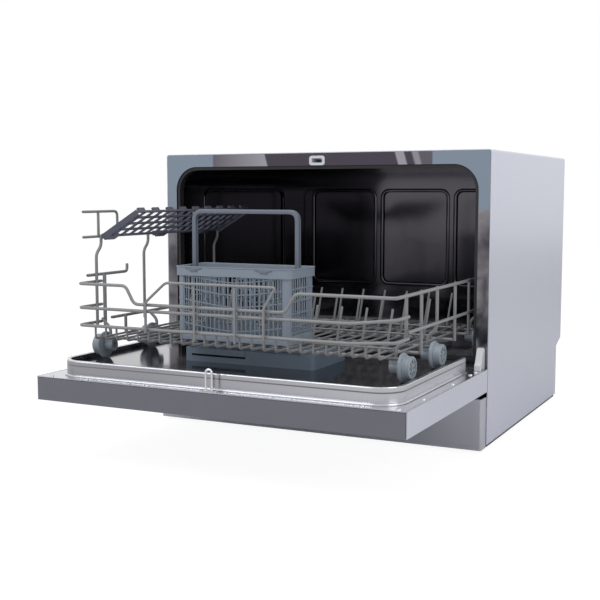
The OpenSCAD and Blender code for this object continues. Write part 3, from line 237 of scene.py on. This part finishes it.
FINISHES = {
    "casing_paint": (painted, (0.62, 0.64, 0.74), 0.36),
    "plinth_paint": (painted, (0.50, 0.51, 0.56), 0.34),
    "dark_plastic": (moulded, (0.035, 0.035, 0.04), 0.55),
    "foot_rubber": (moulded, (0.03, 0.03, 0.03), 0.75),
    "black_steel": (painted, (0.03, 0.03, 0.035), 0.45, 0.02),
    "tub_steel": (tub_steel,),
    "seal_rubber": (moulded, (0.012, 0.012, 0.014), 0.6),
    "runner_steel": (steel, (0.55, 0.56, 0.58), 0.24, 1),
    "pale_plastic": (moulded, (0.72, 0.74, 0.78), 0.38),
    "spring_steel": (steel, (0.72, 0.72, 0.74), 0.14, 2),
    "zinc_steel": (steel, (0.58, 0.59, 0.62), 0.28, 1),
    "grey_plastic": (moulded, (0.33, 0.36, 0.40), 0.45),
    "heater_steel": (steel, (0.20, 0.18, 0.17), 0.35, 0),
    "panel_plastic": (moulded, (0.150, 0.150, 0.185), 0.32, 0.0006, 0.06),
    "window_glass": (moulded, (0.006, 0.006, 0.008), 0.08, 0.002, 0.01),
    "button_plastic": (moulded, (0.42, 0.43, 0.47), 0.35),
    "blue_plastic": (moulded, (0.20, 0.265, 0.34), 0.42),
    "cap_plastic": (moulded, (0.28, 0.35, 0.44), 0.42),
    "rack_coating": (moulded, (0.255, 0.258, 0.268), 0.38, 0.0016, 0.2, 0.12),
    "wheel_plastic": (moulded, (0.27, 0.315, 0.36), 0.42),
    "shelf_plastic": (moulded, (0.075, 0.080, 0.115), 0.45),
    "basket_plastic": (moulded, (0.255, 0.305, 0.37), 0.45),
    "handle_plastic": (moulded, (0.15, 0.175, 0.225), 0.42),
}
MATERIALS = {name: make(name, *values) for name, (make, *values) in FINISHES.items()}
for node, obj in frame["nodes"].items():
    for held in obj.material_slots:
        held.material = MATERIALS[SLOT[node]]


# ---------- surfaces ----------

def skin(grid):
    """Quads between neighbouring rows and columns of a grid, its last column joined to its first."""
    rows, cols = grid.shape[:2]
    at = np.arange(rows * cols).reshape(rows, cols)
    at = np.concatenate([at, at[:, :1]], 1)
    return np.stack([at[:-1, :-1], at[:-1, 1:], at[1:, 1:], at[1:, :-1]], -1).reshape(-1, 4)


def eased(points, r, steps=5):
    """A path through corner points, each corner eased by the parabola (1-s)^2 A + 2 s (1-s) P + s^2 B."""
    p = np.asarray(points, float)
    if len(p) < 3:  # a straight wire has no corner
        return p
    before, after = p[1:-1] - p[:-2], p[2:] - p[1:-1]
    lb, la = np.linalg.norm(before, axis=1), np.linalg.norm(after, axis=1)
    reach = np.minimum(r, 0.49 * np.minimum(lb, la))[:, None]
    a, b = p[1:-1] - before / lb[:, None] * reach, p[1:-1] + after / la[:, None] * reach
    s = np.linspace(0, 1, steps)[None, :, None]
    curve = (1 - s) ** 2 * a[:, None] + 2 * s * (1 - s) * p[1:-1][:, None] + s ** 2 * b[:, None]
    return np.concatenate([p[:1], curve.reshape(-1, 3), p[-1:]])


def unit(vectors):
    """Each vector divided by its length."""
    return vectors / np.linalg.norm(vectors, axis=1)[:, None]


def ends(rows, cols):
    """The first and the last ring of a grid as flat caps."""
    n = rows * cols
    return [list(range(cols)), list(range(n - 1, n - cols - 1, -1))]


def tube(path, d, up=(0, 0, 1), sides=10):
    """A round wire: path + r (cos t side + sin t over), with domed ends where r follows a quarter circle."""
    p = np.asarray(path, float)
    way = unit(np.gradient(p, axis=0))
    r = d / 2
    dome = np.array([0.0, 30, 60]) * math.pi / 180
    back, width = r * (1 - np.sin(dome)), r * np.sin(dome)
    width[0] = 0.12 * r  # a small flat at the tip
    p = np.concatenate([p[:1] + way[:1] * back[:, None], p[:1] + way[:1] * 0.99 * r,
                        p[1:-1], p[-1:] - way[-1:] * 0.99 * r, p[-1:] - way[-1:] * back[::-1, None]])
    way = np.concatenate([np.repeat(way[:1], 4, 0), way[1:-1], np.repeat(way[-1:], 4, 0)])
    radius = np.concatenate([width, [r], np.full(len(p) - 8, r), [r], width[::-1]])
    side = unit(np.cross(way, np.asarray(up, float)))
    over = np.cross(side, way)
    t = np.arange(sides) / sides * 2 * math.pi
    ring = np.cos(t)[None, :, None] * side[:, None] + np.sin(t)[None, :, None] * over[:, None]
    grid = p[:, None] + radius[:, None, None] * ring
    return grid.reshape(-1, 3), skin(grid)[:, ::-1].tolist() + ends(*grid.shape[:2])


def strip(path, wide, thick, up, sides=8, square=5.0):
    """A bar whose section is the superellipse |x/a|^n + |y/b|^n = 1, with flat ends; up is its thin way."""
    p = np.asarray(path, float)
    way = unit(np.gradient(p, axis=0))
    side = unit(np.cross(way, np.asarray(up, float)))
    over = np.cross(side, way)
    t = (np.arange(sides) + 0.5) / sides * 2 * math.pi
    c, s = np.cos(t), np.sin(t)
    a = wide / 2 * np.sign(c) * np.abs(c) ** (2 / square)
    b = thick / 2 * np.sign(s) * np.abs(s) ** (2 / square)
    grid = p[:, None] + a[None, :, None] * side[:, None] + b[None, :, None] * over[:, None]
    return grid.reshape(-1, 3), skin(grid)[:, ::-1].tolist() + ends(*grid.shape[:2])


def loop(box, r, profile, plane="xy", steps=7):
    """A closed profile of (offset, height) pairs carried round a rectangle with round corners.

    Each point is the corner's centre + (r + offset)(cos t, sin t), at that height.
    """
    x0, y0, x1, y1 = box
    t = np.linspace(0, math.pi / 2, steps)
    turn = (np.arange(4)[:, None] * math.pi / 2 + t).ravel()
    cx = np.repeat([x1 - r, x0 + r, x0 + r, x1 - r], steps)
    cy = np.repeat([y1 - r, y1 - r, y0 + r, y0 + r], steps)
    o, h = np.asarray(profile, float).T
    u = cx[None] + (r + o[:, None]) * np.cos(turn)[None]
    v = cy[None] + (r + o[:, None]) * np.sin(turn)[None]
    w = np.repeat(h[:, None], len(turn), 1)
    grid = np.stack({"xy": (u, v, w), "xz": (u, w, v)}[plane], -1)
    grid = np.concatenate([grid, grid[:1]])
    quads = skin(grid)
    n = len(o) * len(turn)
    quads = np.where(quads >= n, quads - n, quads)
    if plane == "xz":
        quads = quads[:, ::-1]
    return grid[:-1].reshape(-1, 3), quads.tolist()


def piece(name, parts, slot, body, replaces=()):
    """One object from several sets of points and faces, given in mm from the casing's front."""
    start, verts, faces = 0, [], []
    for points, quads in parts:
        verts.append(points)
        faces += [[i + start for i in f] for f in quads]
        start += len(points)
    verts = (np.concatenate(verts) + [0, FRONT, 0]) * 0.001
    mesh = bpy.data.meshes.new(name)
    mesh.from_pydata(verts.tolist(), [], faces)
    mesh.polygons.foreach_set("use_smooth", np.ones(len(mesh.polygons), bool))
    mesh.set_sharp_from_angle(angle=math.radians(38))
    mesh.materials.append(MATERIALS[slot])
    obj = bpy.data.objects.new(name, mesh)
    bpy.context.scene.collection.objects.link(obj)
    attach(obj, body)
    if replaces:
        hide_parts(*replaces)
    return obj


# ---------- rack ----------

HW, Y0, Y1 = 240, -281, 111  # the rails' half width, front and rear
TOP_Z, DIP_Z = 248, 223  # the upper rail and its dip
GUARD_Y = -228  # where the front rails begin on the left side
RAIL, WIRE, SHELF_WIRE = 4.6, 3.2, 4  # diameters
IN_X, STEP_X = 235.3, 222  # uprights inside the rails, and their feet where they step in over a roller
WHEEL_Y = [-233, -114, 84]
PLAIN_Y = [-177, -36, 30, 107]
CROSS_Z, BASE_Z, TINE_Z = 166.5, 170.5, 173.8
PITCH_X = 18  # between base wires


def wire(points, d=RAIL, r=9, up=(0, 0, 1)):
    """A wire through corner points, bent at radius r."""
    return tube(eased(points, r), d, up)


def side_loop(points, d, r):
    """A wire bent in a plane that runs front to back."""
    return wire(points, d, r, (1, 0, 0))


def post(x, y, low, high, d=RAIL):
    """A straight upright."""
    return wire([(x, y, low), (x, y, high)], d, up=(0, 1, 0))


def front_rails():
    """Three rails round the front, the upper one dipping at its middle, and the loop before the basket."""
    made = [wire([(-HW, GUARD_Y, TOP_Z), (-HW, Y0, TOP_Z), (-160, Y0, TOP_Z), (-146, Y0, DIP_Z),
                  (88, Y0, DIP_Z), (103, Y0, TOP_Z), (HW, Y0, TOP_Z), (HW, Y1, TOP_Z)], RAIL, 7)]
    for z, raised in ((214, 221), (189, 193)):
        made.append(wire([(-HW, GUARD_Y, z), (-HW, Y0, z), (180, Y0, z), (HW, Y0, raised),
                          (HW, -236, raised)], RAIL, 7))
    y = Y0 - RAIL - 0.1
    made.append(wire([(-124, y, 185), (-124, y, 227), (-91, y, 255), (77, y, 255), (59, y, 227),
                      (59, y, 185)], 3.8, 5, (0, 1, 0)))
    return made + [post(x, y, 178, 253, 3.4) for x in (-46, 16)]


def uprights(side, top):
    """The side's plain uprights, and the stepped ones that leave room for the rollers."""
    x, foot = side * IN_X, side * STEP_X
    made = [post(x, y, CROSS_Z - 2, top) for y in PLAIN_Y]
    return made + [wire([(foot, y, 168.9), (foot, y, 180), (x, y, 192), (x, y, top)], up=(0, 1, 0), r=6)
                   for y in WHEEL_Y]


def left_side():
    """Uprights, the posts that jog back under the cup shelf, and its hinge wire with two guard loops."""
    made = uprights(-1, 195)
    x = -IN_X
    made += [side_loop([(x, y, 183), (x, y, 288), (x, y + 12, 300), (x, y + 12, 316)], RAIL, 6)
             for y in (-246, -127, 82)]
    made.append(post(-234.9, GUARD_Y, 183, 258, 5.4))
    made.append(wire([(-HW, -206, 192), (-HW, Y1, 192)]))
    made.append(side_loop([(-HW, -262, 258), (-HW, -165, 258), (-HW, -165, 270)], RAIL, 6))
    x, z, top = -239.7, 313, 349
    made.append(side_loop([(x, -270, top), (x, -188, top), (x, -188, z), (x, -270, z)], SHELF_WIRE, 8))
    made.append(wire([(x, -190, z), (x, 24, z)], SHELF_WIRE))
    made.append(side_loop([(x, 30, z), (x, 24, z), (x, 24, top), (x, 106, top), (x, 106, z), (x, 22, z)],
                          SHELF_WIRE, 8))
    return made + [post(x, -234, z, top, SHELF_WIRE)]


def base_wires():
    """The floor: wires from back to front, turned up under the front rails, on seven cross wires."""
    made = [side_loop([(x, 109, BASE_Z), (x, -276, BASE_Z), (x, -276, 187)], WIRE, 5)
            for x in range(-12 * PITCH_X, 13 * PITCH_X, PITCH_X)]
    return made + [wire([(-half, y, CROSS_Z), (half, y, CROSS_Z)])
                   for half, places in ((233, PLAIN_Y), (226, WHEEL_Y)) for y in places]


def tines():
    """Pins that lean 9 degrees, 53 mm long, each standing on one of three cross wires."""
    across, rise = 53 * math.sin(math.radians(9)), 53 * math.cos(math.radians(9))
    made = []
    for y, first, last in ((-205, 5, 11), (-60, -11, 11), (40, -11, 11)):
        made.append(wire([(first * PITCH_X - 8, y, TINE_Z), (last * PITCH_X + 8, y, TINE_Z)], WIRE))
        made += [wire([(x, y, TINE_Z - 1), (x + across, y, TINE_Z + rise)], WIRE, up=(0, 1, 0))
                 for x in range(first * PITCH_X, last * PITCH_X + 1, 2 * PITCH_X)]
    return made


right_side = uprights(1, 250) + [wire([(HW, -240, 201), (HW, Y1, 201)])]
piece("rack_rails_smooth", front_rails(), "rack_coating", "rack", ["rack_front_rails"])
piece("rack_right_smooth", right_side, "rack_coating", "rack", ["rack_right_side"])
piece("rack_left_smooth", left_side(), "rack_coating", "rack", ["rack_left_side"])
piece("rack_floor_smooth", base_wires(), "rack_coating", "rack", ["rack_base"])
piece("rack_tines_smooth", tines(), "rack_coating", "rack", ["rack_tines"])


# ---------- pressed edges and folded edges ----------

PRESS_LOW, PRESS_HIGH = 200, 380  # the pressed panels' lower and upper edges


def ridges():
    """Rolled edges round the tub's pressed panels: a half-round moulding, 1.3 mm high and 7 mm wide."""
    a = np.linspace(0, math.pi, 7)
    bead = np.stack([3.5 * np.cos(a), -1.3 * np.sin(a)], 1)
    made = []
    for i in (-1, 0, 1):
        box = (i * 148 - 67, PRESS_LOW, i * 148 + 67, PRESS_HIGH)
        made.append(loop(box, 14, bead[::-1] + [0, 436], "xz"))
    for side in (-1, 1):
        points, faces = loop((90, PRESS_LOW, 390, PRESS_HIGH), 14, bead + [0, 256.5], "xy")
        turned = np.stack([side * points[:, 2], points[:, 0], points[:, 1]], 1)
        made.append((turned, faces if side > 0 else [f[::-1] for f in faces]))
    return made


def rim_lines():
    """Bright round edges: the pan's rim and the bead round its foot, each half mirrored in x."""
    t = np.linspace(0, math.pi / 2, 9)
    made = []
    for off, z, d in ((-0.5, 142.6, 1.5), (2.4, 122.4, 1.3)):
        x, y, r = 254.5 + off, -315 - off, 34 + off
        turn = np.stack([x - r + r * np.sin(t), y + r - r * np.cos(t), np.full(9, z)], 1)
        right = np.concatenate([[[0, y, z], [x - r - 20, y, z]], turn, [[x, y + r + 20, z], [x, -43, z]]])
        made += [tube(right * [s, 1, 1], d, sides=8) for s in (-1, 1)]
    return made


def folds():
    """The door skin's folded edges: along the front, down the right front corner and along both sides."""
    x, y, z = 274.6, -333.7, 120.8
    made = [tube([(-x, y, z), (0, y, z), (x, y, z)], 1.1, sides=8),
            tube([(x, -333.6, 88.6), (x, -333.6, 105), (x, -333.6, 120.6)], 1.1, (0, 1, 0), 8)]
    return made + [tube([(s * 274.7, -333.4, z), (s * 274.7, -150, z), (s * 274.7, -3, z)], 0.9, sides=8)
                   for s in (-1, 1)]


piece("tub_ridges", ridges(), "tub_steel", "cabinet")
piece("pan_edges", rim_lines(), "spring_steel", "cabinet")
piece("door_folds", folds(), "button_plastic", "cabinet")


# ---------- cutlery basket ----------

BX, BY0, BY1, BZ0 = -15, -240, -160, 172.4  # the basket's middle, front, rear and underside
HALF = 90  # its half width
LINE_Z = (253.9, 236.9, 220.4, 203.9, 187.3)  # where the walls' level bars are lowest
BAND_Z, LIP_Z = 184, 262.5  # the mesh runs from the floor band up to the rim


def shell():
    """The rim with its folded lip and the floor band with its inner ledge."""
    rim = [(0, 262), (0, 273.4), (0.7, 273.8), (0.7, 275), (-1.7, 275), (-2.2, 274.5), (-2.2, 263),
           (-4.8, 262)]
    band = [(0, BZ0 + 0.6), (0, 184.4), (-0.4, 185), (-2, 185), (-2.2, 184.6), (-2.2, 174.6), (-14, 174.6),
            (-14, BZ0), (-0.6, BZ0)]
    return [loop((BX - HALF, BY0, BX + HALF, BY1), 7, rim),
            loop((BX - HALF + 3, BY0 + 2, BX + HALF - 3, BY1 - 2), 6, band)]


def corner_posts():
    """A quarter-round angle at each corner: a profile of outer and inner arcs between two heights."""
    t = np.linspace(0, math.pi / 2, 5)
    outer = np.concatenate([[[6, -3]], np.stack([6 * np.cos(t), 6 * np.sin(t)], 1), [[-3, 6]]])
    inner = outer * (3.8 / 6)
    inner[0], inner[-1] = (3.8, -3), (-3, 3.8)
    made = []
    for sx in (-1, 1):
        for y, sy in ((BY0 + 8, -1), (BY1 - 8, 1)):
            ring = np.concatenate([outer, inner[::-1]]) * [sx, sy] + [BX + sx * (HALF - 9), y]
            if sx * sy < 0:
                ring = ring[::-1]
            grid = np.stack([np.column_stack([ring, np.full(len(ring), z)]) for z in (BAND_Z, LIP_Z)])
            low_cap, high_cap = ends(*grid.shape[:2])
            made.append((grid.reshape(-1, 3), skin(grid).tolist() + [low_cap[::-1], high_cap[::-1]]))
    return made


def mesh_bar(start, end, up, wide=1.5, thick=1.7):
    """A thin straight bar of the basket's mesh."""
    return strip([start, end], wide, thick, up)


def long_wall(y):
    """Upright bars, and level bars that sag: z = z0 + 10 |u|^1.4 for u from -1 to 1."""
    made = [mesh_bar((BX + x, y, BAND_Z), (BX + x, y, LIP_Z), (0, 1, 0)) for x in np.linspace(-77, 77, 23)]
    u = np.linspace(-1, 1, 17)
    for z in LINE_Z:
        sag = np.minimum(z + 10 * np.abs(u) ** 1.4, 263)
        made.append(strip(np.stack([BX + 84 * u, np.full(17, y), sag], 1), 1.5, 1.7, (0, 1, 0)))
    return made


def end_wall(x):
    """Upright bars between level ones."""
    levels = [z + 10 for z in LINE_Z[1:]] + [188]
    made = [mesh_bar((x, y, BAND_Z), (x, y, LIP_Z), (1, 0, 0)) for y in np.linspace(-231, -169, 10)]
    return made + [mesh_bar((x, -236, z), (x, -164, z), (1, 0, 0)) for z in levels]


def floor_grid():
    """The floor's bars, both ways."""
    z, up = 173.5, (0, 0, 1)
    made = [mesh_bar((BX + x, -226, z), (BX + x, -174, z), up, 1.6, 2) for x in np.linspace(-70, 70, 21)]
    return made + [mesh_bar((BX - 74, y, z), (BX + 74, y, z), up, 1.6, 2) for y in np.linspace(-220, -180, 6)]


def divider(x):
    """A wall between two cells."""
    made = [mesh_bar((x, y, 174), (x, y, 258), (1, 0, 0), 2, 1.8) for y in np.linspace(-228, -172, 8)]
    return made + [mesh_bar((x, -236, z), (x, -164, z), (1, 0, 0), 2.4, 1.8) for z in (176, 203, 230, 257.6)]


def basket():
    """All of the basket's mesh, from its rim to its dividers."""
    made = shell() + corner_posts()
    for y in (BY0 + 3.1, BY1 - 3.1):
        made += long_wall(y)
    for x in (BX - 85.9, BX + 85.9):
        made += end_wall(x)
    made += floor_grid()
    for x in (-45, 0, 45):
        made += divider(BX + x)
    return made


def basket_clips():
    """Two sprung tabs on the rim that the lid of the basket would click under."""
    y, up = BY0 - 0.6, (0, 1, 0)
    made = []
    for x in (-75, 35):
        made.append(strip([(x - 13, y, 272.4), (x - 5, y, 271), (x + 5, y, 271), (x + 13, y, 272.4)],
                          1.4, 1.0, up))
        made.append(strip([(x - 5, y - 0.1, 269.6), (x + 6, y - 0.1, 268.9)], 2.4, 1.2, up))
    return made


def handle():
    """A bent bow with a thin web between two rounded edges."""
    x, y, foot, top = 81.3, -200, 262, 350
    path = eased([(BX - x, y, foot), (BX - x, y, top), (BX + x, y, top), (BX + x, y, foot)], 13, 9)
    made = [strip(path, 2.6, 6.6, (0, 1, 0), 12)]
    return made + [strip(path + [0, off, 0], 5.8, 1.7, (0, 1, 0), 12, 3) for off in (-3.1, 3.1)]


piece("basket_mesh", basket(), "basket_plastic", "basket", ["cutlery_basket"])
piece("basket_clips", basket_clips(), "handle_plastic", "basket")
piece("basket_bow", handle(), "handle_plastic", "basket", ["basket_handle"])


# ---------- floor and lights ----------

def pale_floor():
    """A plain floor: the camera sees it white with a faint shadow, and the object sees a pale grey one."""
    f = Finish("floor")
    seen = f.node("ShaderNodeLightPath", out="Is Camera Ray")
    dull = f.node("ShaderNodeBsdfDiffuse", {}, {"Color": shade((0.82, 0.82, 0.82))})
    faint = f.node("ShaderNodeBsdfDiffuse", {}, {"Color": shade((0.16, 0.16, 0.16))})
    glow = f.node("ShaderNodeEmission", {}, {"Color": shade((1, 1, 1)), "Strength": 0.93})
    both = f.node("ShaderNodeAddShader", {}, {0: faint, 1: glow})
    last = f.node("ShaderNodeMixShader", {}, {0: seen, 1: dull, 2: both})
    f.tree.links.new(last.socket, f.out.inputs[0])
    half = 6  # metres
    mesh = bpy.data.meshes.new("floor")
    corners = [(-half, -half, 0), (half, -half, 0), (half, half, 0), (-half, half, 0)]
    mesh.from_pydata(corners, [], [(0, 1, 2, 3)])
    mesh.materials.append(f.material)
    floor = bpy.data.objects.new("floor", mesh)
    bpy.context.scene.collection.objects.link(floor)


def surround():
    """A white world for the camera, for gloss and for glass, and half as bright for everything else."""
    world = bpy.data.worlds.new("surround")
    bpy.context.scene.world = world
    world.use_nodes = True
    tree = world.node_tree
    tree.nodes.clear()
    path = tree.nodes.new("ShaderNodeLightPath")
    white = path.outputs["Is Camera Ray"]
    for ray in ("Is Glossy Ray", "Is Transmission Ray"):
        either = tree.nodes.new("ShaderNodeMath")
        either.operation = "MAXIMUM"
        tree.links.new(white, either.inputs[0])
        tree.links.new(path.outputs[ray], either.inputs[1])
        white = either.outputs[0]
    level = tree.nodes.new("ShaderNodeMapRange")
    level.inputs["To Min"].default_value, level.inputs["To Max"].default_value = 0.50, 1.0
    tree.links.new(white, level.inputs["Value"])
    back = tree.nodes.new("ShaderNodeBackground")
    back.inputs["Color"].default_value = shade((1, 1, 1))
    tree.links.new(level.outputs[0], back.inputs["Strength"])
    out = tree.nodes.new("ShaderNodeOutputWorld")
    tree.links.new(back.outputs[0], out.inputs[0])


def soft_boxes():
    """Three square lamps turned to the object: name, place, side in metres and watts."""
    middle = Vector((0, -0.05, 0.2))
    for name, spot, size, power in (("key", (-1.2, -1.6, 2.2), 1.6, 26), ("fill", (2.2, -0.8, 1.4), 1.4, 12),
                                    ("top", (0.1, 0.2, 2.4), 1.5, 9)):
        data = bpy.data.lights.new(name, "AREA")
        data.shape, data.size, data.energy = "SQUARE", size, power
        lamp = bpy.data.objects.new(name, data)
        lamp.location = spot
        lamp.rotation_euler = (middle - Vector(spot)).to_track_quat("-Z", "Y").to_euler()
        bpy.context.scene.collection.objects.link(lamp)


pale_floor()
surround()
soft_boxes()
bpy.context.scene.view_settings.view_transform = "Standard"
